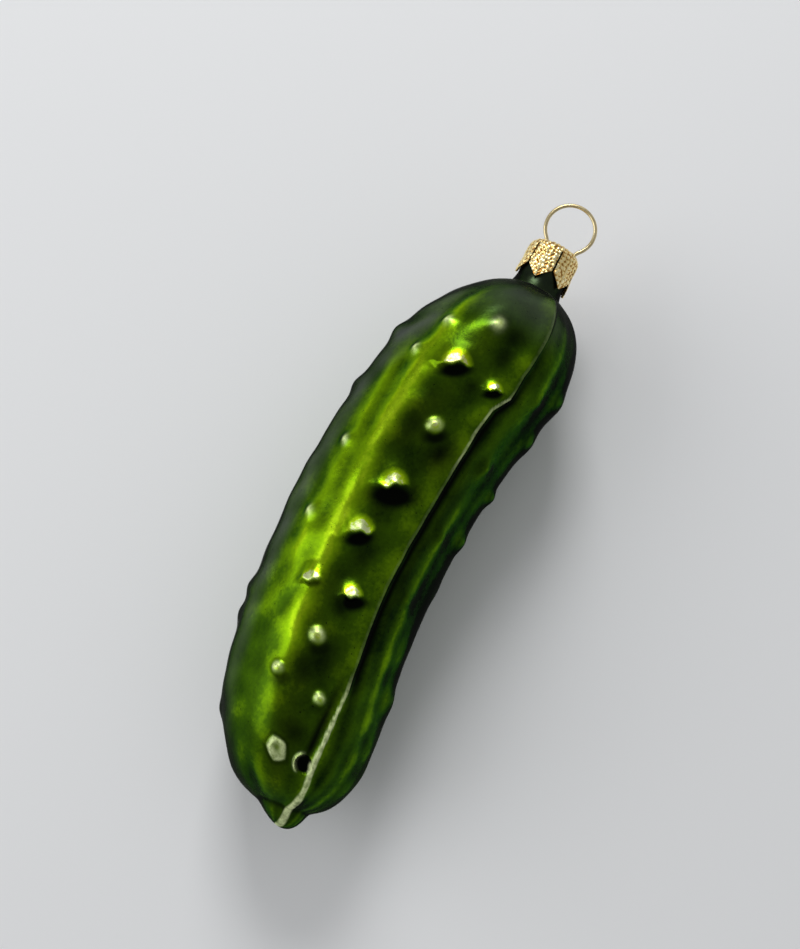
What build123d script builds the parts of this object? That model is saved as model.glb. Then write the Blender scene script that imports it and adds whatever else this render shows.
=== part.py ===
"""Pickle-shaped tree ornament of blown glass, with a stamped crown cap and a sprung wire hanger.

The ornament lies on its side, as it does on a table. +X runs along the neck towards the hanger and
+Z is up. Stations are distances along X from the rounded bottom end of the fruit, and angles around
the fruit are degrees from its top towards +Y. The finished pieces are set down so that the origin
lies under the middle of the ornament, on the table. All sizes are millimetres.
"""

import os
from math import acos, atan2, cos, degrees, radians, sin, sqrt

from build123d import *

# Fruit: the blown body below the neck
FRUIT_LENGTH = 103.2
BELLY_RADIUS = 14.4
SHOULDER_RADIUS = 15.8
BOTTOM_DOME = 22.2
BOTTOM_FULLNESS = 2.8
TOP_DOME = 21.7
TOP_FULLNESS = 2.1
BOW = 6.7
BOW_CURL = 1.64
TIP_DROP = 0.9
GLASS_WALL = 1.0
RIB_COUNT = 7
RIB_HEIGHT = 0.3
RIB_ANGLE = 18.0

# Blossom end: the small button at the bottom
BUTTON_ROOT = 3.8
BUTTON_SIDE = 1.5
BUTTON_LENGTH = 6.95
BUTTON_RADIUS = 6.9
BUTTON_TIP = 2.5
BUTTON_LEAN = 9.5
BUTTON_ROUND = 2.4

# Neck: the open glass tube that the cap sits on
NECK_RADIUS = 4.35
NECK_WALL = 0.7
NECK_RISE = 7.15
RIM_ROUND = 0.3

# Warts: each stands out of the glass by the same height, on a ball of one of three radii
WART_HEIGHT = 1.0
SMALL = 1.7
MIDDLE = 2.4
LARGE = 3.2

# Cap: one stamping with a domed top and a skirt slit into pointed petals
CAP_SHEET = 0.25
CAP_FIT = 0.2
CAP_SEAT = 0.05
CAP_DOME = 2.0
CAP_HEIGHT = 7.5
PETAL_COUNT = 6
PETAL_TURN = 43.0
PETAL_POINT = 2.1
SLIT_START = 1.3
SLIT_WIDTH = 0.35
SLOT_CLEARANCE = 0.2

# Hanger: one wire bent into a ring, with two legs that spring against the bore of the neck
WIRE_RADIUS = 0.36
RING_RADIUS = 4.5
RING_RISE = 4.15
RING_LEAN = 0.5
BEND_RADIUS = 3.0
BEND_DEPTH = 0.9
LEG_LENGTH = 16.0
LEG_CLEARANCE = 0.15

# Sizes that follow from those above
NECK_BORE = NECK_RADIUS - NECK_WALL
NECK_ROOT = FRUIT_LENGTH - TOP_DOME / 2
RIM = FRUIT_LENGTH + NECK_RISE
CAP_RADIUS = NECK_RADIUS + CAP_FIT + CAP_SHEET
CAP_BORE = NECK_RADIUS + CAP_FIT
CAP_DOME_INSIDE = CAP_DOME - CAP_SHEET
CAP_FLAT = CAP_RADIUS - CAP_DOME
# The rounded rim lies against the inside of the cap's dome, with the seat's clearance between them
SEAT_REACH = CAP_DOME_INSIDE - RIM_ROUND - CAP_SEAT
SEAT_OFFSET = CAP_DOME_INSIDE - RIM_ROUND - CAP_FIT
CAP_TOP = RIM - RIM_ROUND - sqrt(SEAT_REACH**2 - SEAT_OFFSET**2) + CAP_DOME

# The warts that the upper side shows: share of the fruit's length, angle, ball
UPPER_WARTS = [
    (0.88, 2, MIDDLE),
    (0.85, 32, SMALL),
    (0.825, -82, LARGE),
    (0.815, 75, MIDDLE),
    (0.80, -58, SMALL),
    (0.785, 38, SMALL),
    (0.785, 7, LARGE),
    (0.775, -23, SMALL),
    (0.74, -82, LARGE),
    (0.70, 80, MIDDLE),
    (0.675, -6, MIDDLE),
    (0.66, -56, SMALL),
    (0.63, -84, SMALL),
    (0.595, 44, SMALL),
    (0.555, -4, LARGE),
    (0.535, -82, MIDDLE),
    (0.52, -52, SMALL),
    (0.46, 41, SMALL),
    (0.46, 1, LARGE),
    (0.40, -50, SMALL),
    (0.36, -12, MIDDLE),
    (0.355, 16, MIDDLE),
    (0.31, 80, MIDDLE),
    (0.275, 0, MIDDLE),
    (0.265, 82, MIDDLE),
    (0.24, -82, LARGE),
    (0.20, 18, SMALL),
    (0.185, -15, SMALL),
    (0.105, 84, SMALL),
    (0.083, 6, MIDDLE),
    (0.08, -18, SMALL),
]
# The underside repeats staggered rows of warts
UNDER_ROWS = 5
UNDER_ROW_FIRST = 115.0
UNDER_ROW_PITCH = 33.0
UNDER_WARTS_IN_ROW = 5
UNDER_SHARE_FIRST = 0.15
UNDER_SHARE_PITCH = 0.16
UNDER_SHARE_STAGGER = 0.055
# Each rib outline starts between two of those rows
OUTLINE_START = UNDER_ROW_FIRST + 1.5 * UNDER_ROW_PITCH
OUTLINE_POINTS = 4 * RIB_COUNT


def fruit_radius(station, inset=0.0):
    """Mean radius of the fruit at a station, or of the cavity that lies inset below its surface."""
    share = station / FRUIT_LENGTH
    radius = BELLY_RADIUS + (SHOULDER_RADIUS - BELLY_RADIUS) * share - inset
    into_bottom = max(0.0, (BOTTOM_DOME - station) / (BOTTOM_DOME - inset))
    into_top = max(0.0, (station - FRUIT_LENGTH + TOP_DOME) / (TOP_DOME - inset))
    return radius * sqrt(1.0 - into_bottom**BOTTOM_FULLNESS - into_top**TOP_FULLNESS)


def spine(station):
    """Sideways place of the fruit's middle, which bows to +Y and curls back to the neck's axis."""
    from_middle = 2.0 * station / FRUIT_LENGTH - 1.0
    if from_middle > 0:
        return BOW * (1.0 - from_middle**2) ** BOW_CURL
    return BOW - (BOW + TIP_DROP) * from_middle**2


def ribbed_radius(station, angle):
    """Outer radius of the glass at a station and an angle."""
    radius = fruit_radius(station)
    rib = RIB_HEIGHT * radius / BELLY_RADIUS
    return radius + rib * cos(radians(RIB_COUNT * (angle - RIB_ANGLE)))


def wart_plane(share, angle, ball):
    """Plane at the centre of a wart's ball, facing out of the glass."""
    station = share * FRUIT_LENGTH
    step = 0.01 * min(station, FRUIT_LENGTH - station)
    slope = (fruit_radius(station + step) - fruit_radius(station - step)) / (2.0 * step)
    lean = (spine(station + step) - spine(station - step)) / (2.0 * step)
    across, up = sin(radians(angle)), cos(radians(angle))
    radius = ribbed_radius(station, angle)
    facing = Vector(-slope - lean * across, across, up).normalized()
    surface = Vector(station, spine(station) + radius * across, radius * up)
    return Plane(origin=surface + facing * (WART_HEIGHT - ball), z_dir=facing)


def under_warts():
    """Share, angle and ball of each wart of the underside."""
    warts = []
    for row in range(UNDER_ROWS):
        for place in range(UNDER_WARTS_IN_ROW):
            share = UNDER_SHARE_FIRST + UNDER_SHARE_PITCH * place + UNDER_SHARE_STAGGER * (row % 3)
            ball = MIDDLE if (place + row) % 2 else LARGE
            warts.append((share, UNDER_ROW_FIRST + UNDER_ROW_PITCH * row, ball))
    return warts


def loft_stations(inset=0.0, first_turn=10.0, turns=6, middles=3):
    """Stations of the lofted sections, close together where the two domes curve most."""
    swing = [first_turn + (90.0 - first_turn) * n / turns for n in range(turns + 1)]
    bottom = [BOTTOM_DOME - (BOTTOM_DOME - inset) * cos(radians(turn)) for turn in swing]
    top = [FRUIT_LENGTH - TOP_DOME + (TOP_DOME - inset) * cos(radians(turn)) for turn in swing]
    gap = (top[-1] - bottom[-1]) / (middles + 1)
    return bottom + [bottom[-1] + gap * n for n in range(1, middles + 1)] + top[::-1]


def section_plane(station):
    """Plane across the fruit, with +Y to its right and +Z up."""
    return Plane(origin=(station, spine(station), 0), x_dir=(0, 1, 0), z_dir=(1, 0, 0))


# Glass: ribbed fruit, button, neck and warts, blown hollow in one piece
with BuildPart() as glass:
    for station in loft_stations():
        with BuildSketch(section_plane(station)):
            with BuildLine():
                points = []
                for n in range(OUTLINE_POINTS):
                    angle = OUTLINE_START + 360.0 * n / OUTLINE_POINTS
                    radius = ribbed_radius(station, angle)
                    points.append((radius * sin(radians(angle)), radius * cos(radians(angle))))
                Spline(*points, periodic=True)
            make_face()
    loft()

    # Button, from inside the bottom dome, beside the spine and leaning further over than it does
    spine_root = Vector(BUTTON_ROOT, spine(BUTTON_ROOT), 0)
    fruit_end = Vector(0, spine(0), 0)
    outwards = (fruit_end - spine_root).rotate(Axis.Z, BUTTON_LEAN)
    with BuildSketch(Plane(origin=spine_root - Vector(0, BUTTON_SIDE, 0), z_dir=outwards)):
        Circle(BUTTON_RADIUS)
    taper = degrees(atan2(BUTTON_RADIUS - BUTTON_TIP, BUTTON_LENGTH))
    extrude(amount=BUTTON_LENGTH, taper=taper)
    fillet(glass.edges().sort_by(Axis.X)[0], BUTTON_ROUND)

    # Neck, from inside the top dome to the rim
    with BuildSketch(Plane.YZ.offset(NECK_ROOT)):
        Circle(NECK_RADIUS)
    extrude(amount=RIM - NECK_ROOT)
    fillet(glass.edges().sort_by(Axis.X)[-1], RIM_ROUND)

    for ball in (SMALL, MIDDLE, LARGE):
        with Locations(*[wart_plane(*wart) for wart in UPPER_WARTS + under_warts() if wart[2] == ball]):
            Sphere(ball)

    # Cavity, and the bore with its rounded mouth
    for station in loft_stations(inset=GLASS_WALL):
        with BuildSketch(section_plane(station)):
            Circle(fruit_radius(station, GLASS_WALL))
    loft(mode=Mode.SUBTRACT)
    with BuildSketch(Plane.XY):
        with BuildLine():
            wall = Line((NECK_ROOT, NECK_BORE), (RIM - RIM_ROUND, NECK_BORE))
            mouth = JernArc(wall @ 1, (1, 0), RIM_ROUND, 90)
            Polyline(mouth @ 1, (RIM, 0), (NECK_ROOT, 0), wall @ 0)
        make_face()
    revolve(axis=Axis.X, mode=Mode.SUBTRACT)

# The glass is kept as two simpler solids, parted halfway up the top dome: the fruit, and the neck with its shoulder
PARTING = Plane.YZ.offset(NECK_ROOT)
with BuildPart() as glass_body:
    add(glass.part)
    split(bisect_by=PARTING, keep=Keep.BOTTOM)
with BuildPart() as glass_neck:
    add(glass.part)
    split(bisect_by=PARTING, keep=Keep.TOP)

# Wire hanger: leg, bend, ring, bend and leg in one run of wire, in the plane that the fruit bows in
RING_CENTRE = Vector(CAP_TOP + RING_RISE, -RING_LEAN, 0)
BEND_DROP = RING_RISE + BEND_DEPTH
BEND_SPREAD = sqrt((RING_RADIUS + BEND_RADIUS) ** 2 - BEND_DROP**2)
LEG_SPREAD = NECK_BORE - WIRE_RADIUS - LEG_CLEARANCE

with BuildPart() as wire_hanger:
    with BuildLine(Plane.XY) as wire_path:
        ring_turn = degrees(atan2(BEND_SPREAD, -BEND_DROP))
        CenterArc(RING_CENTRE, RING_RADIUS, -ring_turn, 2 * ring_turn)
        for side in (1, -1):
            bend_centre = RING_CENTRE + Vector(-BEND_DROP, side * BEND_SPREAD)
            leg_end = Vector(CAP_TOP - LEG_LENGTH, side * LEG_SPREAD)
            to_leg = leg_end - bend_centre
            # The leg leaves the bend where it is tangent to it
            bend_start = ring_turn + 180.0
            bend_end = degrees(side * atan2(to_leg.Y, to_leg.X) + acos(BEND_RADIUS / to_leg.length))
            bend_sweep = (bend_start - bend_end) % 360.0
            bend = CenterArc(bend_centre, BEND_RADIUS, side * bend_start, -side * bend_sweep)
            Line(bend @ 1, leg_end)
    path = wire_path.wire()
    with BuildSketch(Plane(origin=path @ 0, z_dir=path % 0)):
        Circle(WIRE_RADIUS)
    sweep(path=path)

# Crown cap: the slots let the bends and legs through, and the slits divide the skirt into petals
SLOT_WIDTH = 2 * (WIRE_RADIUS + SLOT_CLEARANCE)
SLOT_INNER = BEND_SPREAD - RING_LEAN - BEND_RADIUS - WIRE_RADIUS - SLOT_CLEARANCE
SLOT_OUTER = RING_LEAN + BEND_SPREAD - sqrt((BEND_RADIUS - WIRE_RADIUS) ** 2 - BEND_DEPTH**2) + SLOT_CLEARANCE
PETAL_HALF = 180.0 / PETAL_COUNT
HEM = CAP_TOP - CAP_HEIGHT
DOME_FOOT = CAP_TOP - CAP_DOME

with BuildPart() as crown_cap:
    with BuildSketch(Plane.XY):
        with BuildLine():
            top = Line((CAP_TOP, 0), (CAP_TOP, CAP_FLAT))
            shoulder = CenterArc((DOME_FOOT, CAP_FLAT), CAP_DOME, 0, 90)
            Polyline(shoulder @ 1, (HEM, CAP_RADIUS), (HEM, CAP_BORE), (DOME_FOOT, CAP_BORE))
            lining = CenterArc((DOME_FOOT, CAP_FLAT), CAP_DOME_INSIDE, 0, 90)
            Polyline(lining @ 0, (CAP_TOP - CAP_SHEET, 0), top @ 0)
        make_face()
    revolve(axis=Axis.X)

    # Slits, each widening into the notch between two petal points
    slit_edge = SLIT_WIDTH / 2
    notch_edge = CAP_RADIUS * sin(radians(PETAL_HALF))
    for n in range(PETAL_COUNT):
        angle = radians(PETAL_TURN + 2 * PETAL_HALF * n)
        facing = Vector(0, sin(angle), cos(angle))
        with BuildSketch(Plane(origin=(CAP_TOP, 0, 0), x_dir=(-1, 0, 0), z_dir=facing)):
            with BuildLine():
                Polyline(
                    (SLIT_START, slit_edge),
                    (CAP_HEIGHT - PETAL_POINT, slit_edge),
                    (CAP_HEIGHT, notch_edge),
                    (CAP_HEIGHT, -notch_edge),
                    (CAP_HEIGHT - PETAL_POINT, -slit_edge),
                    (SLIT_START, -slit_edge),
                    close=True,
                )
            make_face()
        extrude(amount=CAP_RADIUS + CAP_SHEET, mode=Mode.SUBTRACT)

    with BuildSketch(Plane.YZ.offset(CAP_TOP)):
        for side in (1, -1):
            with Locations((side * (SLOT_INNER + SLOT_OUTER) / 2, 0)):
                SlotOverall(SLOT_OUTER - SLOT_INNER, SLOT_WIDTH)
    extrude(amount=-CAP_DOME, mode=Mode.SUBTRACT)

# Set the ornament down with the origin under its middle, and write each piece
pieces = {"glass_body": glass_body, "glass_neck": glass_neck, "crown_cap": crown_cap, "wire_hanger": wire_hanger}
box = Compound([piece.part for piece in pieces.values()]).bounding_box()
set_down = Location((-box.center().X, -box.center().Y, -box.min.Z))

os.makedirs("parts", exist_ok=True)
for name, piece in pieces.items():
    piece.part.move(set_down)
    piece.part.label = name
    export_step(piece.part, f"parts/{name}.step")
    print(name, piece.part.is_valid, round(piece.part.volume, 1), piece.part.bounding_box())
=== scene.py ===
"""Dresses the pickle ornament: lacquered glass, embossed crown cap and sprung wire hanger.

Sizes of the object are in millimetres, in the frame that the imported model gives, and every mesh is
scaled to metres when it is made. Stations are distances along X from the bottom end of the fruit,
and angles around the fruit are degrees from its top towards +Y.
"""

import logging
import math
from dataclasses import dataclass, field
from enum import Enum

import bpy
import numpy as np
from mathutils import Matrix, Vector
from mathutils.kdtree import KDTree


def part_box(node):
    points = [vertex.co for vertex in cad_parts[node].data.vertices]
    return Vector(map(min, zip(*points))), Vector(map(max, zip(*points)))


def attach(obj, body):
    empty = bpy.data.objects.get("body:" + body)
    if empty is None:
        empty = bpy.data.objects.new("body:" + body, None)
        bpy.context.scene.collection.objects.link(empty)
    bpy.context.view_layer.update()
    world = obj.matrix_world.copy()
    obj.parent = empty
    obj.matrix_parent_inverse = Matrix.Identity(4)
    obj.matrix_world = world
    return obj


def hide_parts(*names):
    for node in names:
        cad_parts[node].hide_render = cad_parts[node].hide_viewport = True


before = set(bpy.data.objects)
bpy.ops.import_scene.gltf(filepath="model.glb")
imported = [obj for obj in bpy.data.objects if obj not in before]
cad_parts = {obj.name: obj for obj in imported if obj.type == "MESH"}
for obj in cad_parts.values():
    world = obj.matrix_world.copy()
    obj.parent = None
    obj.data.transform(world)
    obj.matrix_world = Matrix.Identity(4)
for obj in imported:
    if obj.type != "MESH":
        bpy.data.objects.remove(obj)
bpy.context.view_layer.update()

MM = 0.001
LOG = logging.getLogger("pickle_ornament")
Grid = np.ndarray


def smooth_step(low: float | Grid, high: float | Grid, value: Grid) -> Grid:
    """Rises smoothly from 0 at low to 1 at high.

    Args:
        low: Value where the step starts.
        high: Value where the step ends; it may be below low for a falling step.
        value: Values to map.

    Returns:
        The step at each value.
    """
    share = np.clip((value - low) / (high - low), 0.0, 1.0)
    return share * share * (3.0 - 2.0 * share)


def bell(distance: Grid, width: float) -> Grid:
    """A bell curve of height 1 that has fallen to about a third at the given width."""
    return np.exp(-((distance / width) ** 2))


def wrap_degrees(angle: Grid) -> Grid:
    """Brings angles into the half-open range from -180 to 180 degrees."""
    return (angle + 180.0) % 360.0 - 180.0


@dataclass(frozen=True)
class Datum:
    """Where the neck's axis and station zero lie in the row frame, in millimetres."""

    zero_x: float
    axis_y: float
    axis_z: float

    @classmethod
    def from_frame(cls, rim_station: float) -> "Datum":
        """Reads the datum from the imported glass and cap.

        Args:
            rim_station: Station of the glass rim, which is the glass's highest X.

        Returns:
            The datum of this model.
        """
        _, glass_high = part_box("glass_neck")
        cap_low, cap_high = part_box("crown_cap")
        return cls(
            zero_x=glass_high[0] / MM - rim_station,
            axis_y=(cap_low[1] + cap_high[1]) / 2 / MM,
            axis_z=(cap_low[2] + cap_high[2]) / 2 / MM,
        )

    def place(self, points: Grid) -> Grid:
        """Moves points from stations about the neck's axis into the row frame, still in millimetres."""
        return points + np.array([self.zero_x, self.axis_y, self.axis_z])


@dataclass
class MeshPiece:
    """Points, faces, vertex measures and face finishes of one piece before it becomes a Blender object."""

    points: list[Grid] = field(default_factory=list)
    faces: list[tuple[int, ...]] = field(default_factory=list)
    finishes: list[int] = field(default_factory=list)
    measures: dict[str, list[Grid]] = field(default_factory=dict)
    count: int = 0

    def add_points(self, points: Grid, **measures: Grid) -> np.ndarray:
        """Adds points with their measures.

        Args:
            points: Array whose last axis is X, Y, Z.
            measures: One value per point for each named vertex measure.

        Returns:
            The indices of the points, in the shape of the array.
        """
        shape = points.shape[:-1]
        flat = points.reshape(-1, 3)
        indices = np.arange(self.count, self.count + len(flat)).reshape(shape)
        self.points.append(flat)
        self.count += len(flat)
        for name, values in measures.items():
            self.measures.setdefault(name, []).append(np.broadcast_to(values, shape).reshape(-1))
        return indices

    def add_face(self, indices: tuple[int, ...], finish: int = 0) -> None:
        """Adds one face of the given finish."""
        self.faces.append(tuple(int(i) for i in indices))
        self.finishes.append(finish)

    def add_grid(self, rows: np.ndarray, closed: bool, finish: int = 0, flip: bool = False) -> None:
        """Adds the quads of a grid of indices.

        Args:
            rows: Indices, one row for each ring or line of points.
            closed: Whether the last column joins the first.
            finish: Material index of the quads.
            flip: Whether the quads face the other way.
        """
        across = np.roll(rows, -1, axis=1) if closed else rows[:, 1:]
        start = rows if closed else rows[:, :-1]
        quads = np.stack([start[:-1], across[:-1], across[1:], start[1:]], axis=-1).reshape(-1, 4)
        if flip:
            quads = quads[:, ::-1]
        self.faces.extend(map(tuple, quads.tolist()))
        self.finishes.extend([finish] * len(quads))

    def add_fan(self, centre: Grid, ring: np.ndarray, finish: int = 0, flip: bool = False,
                **measures: float) -> None:
        """Closes a ring with triangles to a new point.

        Args:
            centre: The new point.
            ring: Indices of the ring's points.
            finish: Material index of the triangles.
            flip: Whether the triangles face the other way.
            measures: The new point's vertex measures.
        """
        middle = self.add_points(centre[None], **measures)[0]
        for here, there in zip(ring, np.roll(ring, -1)):
            self.add_face((middle, there, here) if flip else (middle, here, there), finish)

    def make(self, name: str, materials: list[bpy.types.Material], sharp_angle: float) -> bpy.types.Object:
        """Makes the Blender object, in metres.

        Args:
            name: Name of the object and its mesh.
            materials: Finishes by material index.
            sharp_angle: Edges that turn by more than this many degrees stay sharp.

        Returns:
            The linked object.
        """
        mesh = bpy.data.meshes.new(name)
        points = np.concatenate(self.points) * MM
        mesh.from_pydata(points.tolist(), [], self.faces)
        for material in materials:
            mesh.materials.append(material)
        mesh.polygons.foreach_set("material_index", self.finishes)
        mesh.polygons.foreach_set("use_smooth", [True] * len(self.faces))
        for measure, values in self.measures.items():
            layer = mesh.attributes.new(measure, "FLOAT", "POINT")
            layer.data.foreach_set("value", np.concatenate(values).astype(np.float32))
        mesh.validate()
        mesh.update()
        mesh.set_sharp_from_angle(angle=math.radians(sharp_angle))
        piece = bpy.data.objects.new(name, mesh)
        bpy.context.scene.collection.objects.link(piece)
        return piece


class NodeSheet:
    """A material's node tree, with short calls to add and join nodes."""

    usual_noise: tuple[float, float] = (0.3, 0.7)
    mix_colours: tuple[int, int] = (6, 7)
    mix_result: int = 2

    def __init__(self, name: str) -> None:
        """Starts a material with one plain shader.

        Args:
            name: Name of the material.
        """
        self.material = bpy.data.materials.new(name)
        self.material.use_nodes = True
        self.tree = self.material.node_tree
        self.shader = self.tree.nodes["Principled BSDF"]

    def node(self, kind: str, **settings: object) -> bpy.types.Node:
        """Adds a node.

        Args:
            kind: The node's type name.
            settings: Attributes of the node, or its input values where the name starts with in_.

        Returns:
            The new node.
        """
        made = self.tree.nodes.new(kind)
        for key, value in settings.items():
            if key.startswith("in_"):
                made.inputs[key[3:].replace("_", " ").title()].default_value = value
            else:
                setattr(made, key, value)
        return made

    def join(self, source: bpy.types.NodeSocket, target: bpy.types.NodeSocket) -> None:
        """Links one socket to another."""
        self.tree.links.new(source, target)

    def give(self, socket: bpy.types.NodeSocket, value: object) -> None:
        """Gives a socket what it takes.

        Args:
            socket: The socket.
            value: A source to link, or a number or a linear colour to set.
        """
        if isinstance(value, bpy.types.NodeSocket):
            self.join(value, socket)
        else:
            socket.default_value = (*value, 1.0) if isinstance(value, tuple) else value

    def measure(self, name: str) -> bpy.types.NodeSocket:
        """Reads a vertex measure of the mesh as a number."""
        return self.node("ShaderNodeAttribute", attribute_name=name).outputs["Fac"]

    def noise(self, scale: float, detail: float, roughness: float = 0.55) -> bpy.types.NodeSocket:
        """Smooth noise over the object's own coordinates.

        Args:
            scale: Cycles per metre.
            detail: How many finer layers it has.
            roughness: How strong those layers are.

        Returns:
            The noise, from about 0 to 1.
        """
        place = self.node("ShaderNodeTexCoord").outputs["Object"]
        noise = self.node("ShaderNodeTexNoise", in_scale=scale, in_detail=detail, in_roughness=roughness)
        self.join(place, noise.inputs["Vector"])
        return noise.outputs["Fac"]

    def ramp(self, source: bpy.types.NodeSocket, stops: list[tuple[float, tuple]]) -> bpy.types.NodeSocket:
        """Maps a number to a colour.

        Args:
            source: The number.
            stops: Place and linear colour of each stop, from low to high.

        Returns:
            The colour.
        """
        ramp = self.node("ShaderNodeValToRGB")
        elements = ramp.color_ramp.elements
        while len(elements) < len(stops):
            elements.new(0.5)
        for element, (place, colour) in zip(elements, stops):
            element.position = place
            element.color = (*colour, 1.0)
        self.join(source, ramp.inputs["Fac"])
        return ramp.outputs["Color"]

    def span(self, source: bpy.types.NodeSocket, low: float, high: float,
             to_low: float = 0.0, to_high: float = 1.0) -> bpy.types.NodeSocket:
        """Maps one range onto another, clamped.

        Args:
            source: The number to map.
            low: Start of its range.
            high: End of its range.
            to_low: Result at the start.
            to_high: Result at the end.

        Returns:
            The mapped number.
        """
        span = self.node(
            "ShaderNodeMapRange", in_from_min=low, in_from_max=high, in_to_min=to_low, in_to_max=to_high,
        )
        self.join(source, span.inputs["Value"])
        return span.outputs["Result"]

    def vary(self, scale: float, detail: float, low: float, high: float) -> bpy.types.NodeSocket:
        """Noise whose usual values are spread over the range from low to high."""
        return self.span(self.noise(scale, detail), *self.usual_noise, low, high)

    def blend(self, amount: bpy.types.NodeSocket, first: object, second: object,
              kind: str = "MIX") -> bpy.types.NodeSocket:
        """Mixes two colours.

        Args:
            amount: Share of the second colour.
            first: A socket or a linear colour.
            second: A socket or a linear colour.
            kind: How they mix.

        Returns:
            The mixed colour.
        """
        mix = self.node("ShaderNodeMix", data_type="RGBA", blend_type=kind)
        self.join(amount, mix.inputs["Factor"])
        for place, value in zip(self.mix_colours, (first, second)):
            self.give(mix.inputs[place], value)
        return mix.outputs[self.mix_result]

    def combine(self, operation: str, first: bpy.types.NodeSocket, second: object) -> bpy.types.NodeSocket:
        """Combines two numbers, clamped to 0 and 1.

        Args:
            operation: Name of the operation.
            first: The first number.
            second: A socket or a plain value.

        Returns:
            The result.
        """
        made = self.node("ShaderNodeMath", operation=operation, use_clamp=True)
        self.give(made.inputs[0], first)
        self.give(made.inputs[1], second)
        return made.outputs[0]

    def bump(self, height: bpy.types.NodeSocket, strength: float, distance: float) -> None:
        """Gives the shader a fine bump.

        Args:
            height: Height of the bump, from 0 to 1.
            strength: How strongly it shows.
            distance: Depth of the full height, in metres.
        """
        bump = self.node("ShaderNodeBump", in_strength=strength, in_distance=distance)
        self.join(height, bump.inputs["Height"])
        self.set(normal=bump.outputs["Normal"])

    def set(self, **values: object) -> None:
        """Links the shader's own sockets to their sources, or sets them to uniform values."""
        for key, value in values.items():
            self.give(self.shader.inputs[key.replace("_", " ").title().replace("Ior", "IOR")], value)


LACQUER_MEASURES = ("lacquer", "olive", "frost", "pool", "wear", "dull")


def even_lacquer(**measures: float) -> dict[str, float]:
    """Lacquer measures of an even surface: 0, apart from those given."""
    return {**dict.fromkeys(LACQUER_MEASURES, 0.0), **measures}


@dataclass(frozen=True)
class GreenLacquer:
    """Transparent green lacquer over silvered glass, with painted light: paler on crests and warts as thin
    lacquer and painted highlight, near-black painted shade under warts and in grooves, grey painted sheen
    along one flank, and pale rubbed spots of wear and painted highlight.

    The mottle, grain and satin are noises: cycles per metre, detail, and the range that they cover.
    """

    stops: tuple = (0.05, 0.4, 0.76, 0.95, 1.0)
    # Near-black of the painted shade under warts, in grooves, creases and patches, and of the small dark
    # specks.
    pooled: tuple = (0.0004, 0.0011, 0.0002)
    deep: tuple = (0.006, 0.021, 0.0006)
    middle: tuple = (0.044, 0.106, 0.001)
    thin: tuple = (0.2, 0.38, 0.002)
    # bright and pale are reached on the warts' upper slopes, as painted highlight.
    bright: tuple = (0.39, 0.6, 0.01)
    pale: tuple = (0.6, 0.69, 0.34)
    # Pale rubbed colour: wear along the seam and on some warts, and painted highlight on wart tips and lips.
    worn: tuple = (0.68, 0.78, 0.4)
    olive: tuple = (1.0, 0.86, 0.6)
    # Grey of the painted sheen along the flank towards +Y and over the top dome.
    frosted: tuple = (0.11, 0.125, 0.108)
    edge_tint: tuple = (0.06, 0.07, 0.05)
    mottle: tuple = (190.0, 4.0, -0.09, 0.09)
    grain: tuple = (1400.0, 3.0, -0.05, 0.05)
    satin: tuple = (320.0, 3.0, 0.26, 0.33)
    dull_roughness: float = 0.08
    worn_roughness: float = 0.2
    worn_metallic: float = 0.4
    coat_weight: float = 0.05
    coat_roughness: float = 0.3
    sheen_weight: float = 0.03
    sheen_roughness: float = 0.35

    def make(self) -> bpy.types.Material:
        """Makes the material.

        Returns:
            A material that reads six measures: the lacquer's tone with painted light, olive, painted sheen,
                painted shade, wear with painted highlight, and dull.
        """
        sheet = NodeSheet("green_lacquer")
        # The thickness that drives this ramp carries painted light and shade as well as the lacquer's own
        # tone.
        thickness = sheet.combine("ADD", sheet.measure("lacquer"), sheet.vary(*self.mottle))
        thickness = sheet.combine("ADD", thickness, sheet.vary(*self.grain))
        tones = (self.deep, self.middle, self.thin, self.bright, self.pale)
        colour = sheet.ramp(thickness, list(zip(self.stops, tones)))
        brown_patches = sheet.span(sheet.noise(75.0, 2.0), 0.42, 0.6)
        browning = sheet.combine("MULTIPLY", sheet.measure("olive"), brown_patches)
        colour = sheet.blend(browning, colour, self.olive, "MULTIPLY")
        # Painted sheen: grey blended in along the flank towards +Y and over the top dome.
        colour = sheet.blend(sheet.measure("frost"), colour, self.frosted)
        # Painted shade: near-black blended in under warts, beside the seam, in creases and in patches.
        colour = sheet.blend(sheet.measure("pool"), colour, self.pooled)
        specks = sheet.span(sheet.noise(2600.0, 1.0), 0.74, 0.78)
        colour = sheet.blend(specks, colour, self.pooled)
        # Pale rub: wear along the seam and painted highlight on wart tips and lips, with more roughness and
        # less metal.
        rubbed = sheet.span(sheet.noise(900.0, 3.0), 0.3, 0.6, 0.35, 1.0)
        wear = sheet.combine("MULTIPLY", sheet.measure("wear"), rubbed)
        colour = sheet.blend(wear, colour, self.worn)
        rough = sheet.vary(*self.satin)
        for measure, more in ((sheet.measure("dull"), self.dull_roughness), (wear, self.worn_roughness)):
            rough = sheet.combine("ADD", rough, sheet.span(measure, 0.0, 1.0, 0.0, more))
        sheet.bump(sheet.noise(1800.0, 2.0), 0.12, 0.0002)
        sheet.set(
            base_color=colour,
            metallic=sheet.span(wear, 0.0, 1.0, 1.0, self.worn_metallic),
            roughness=rough,
            specular_tint=self.edge_tint,
            coat_weight=self.coat_weight,
            coat_roughness=self.coat_roughness,
            sheen_weight=self.sheen_weight,
            sheen_roughness=self.sheen_roughness,
        )
        return sheet.material


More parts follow.
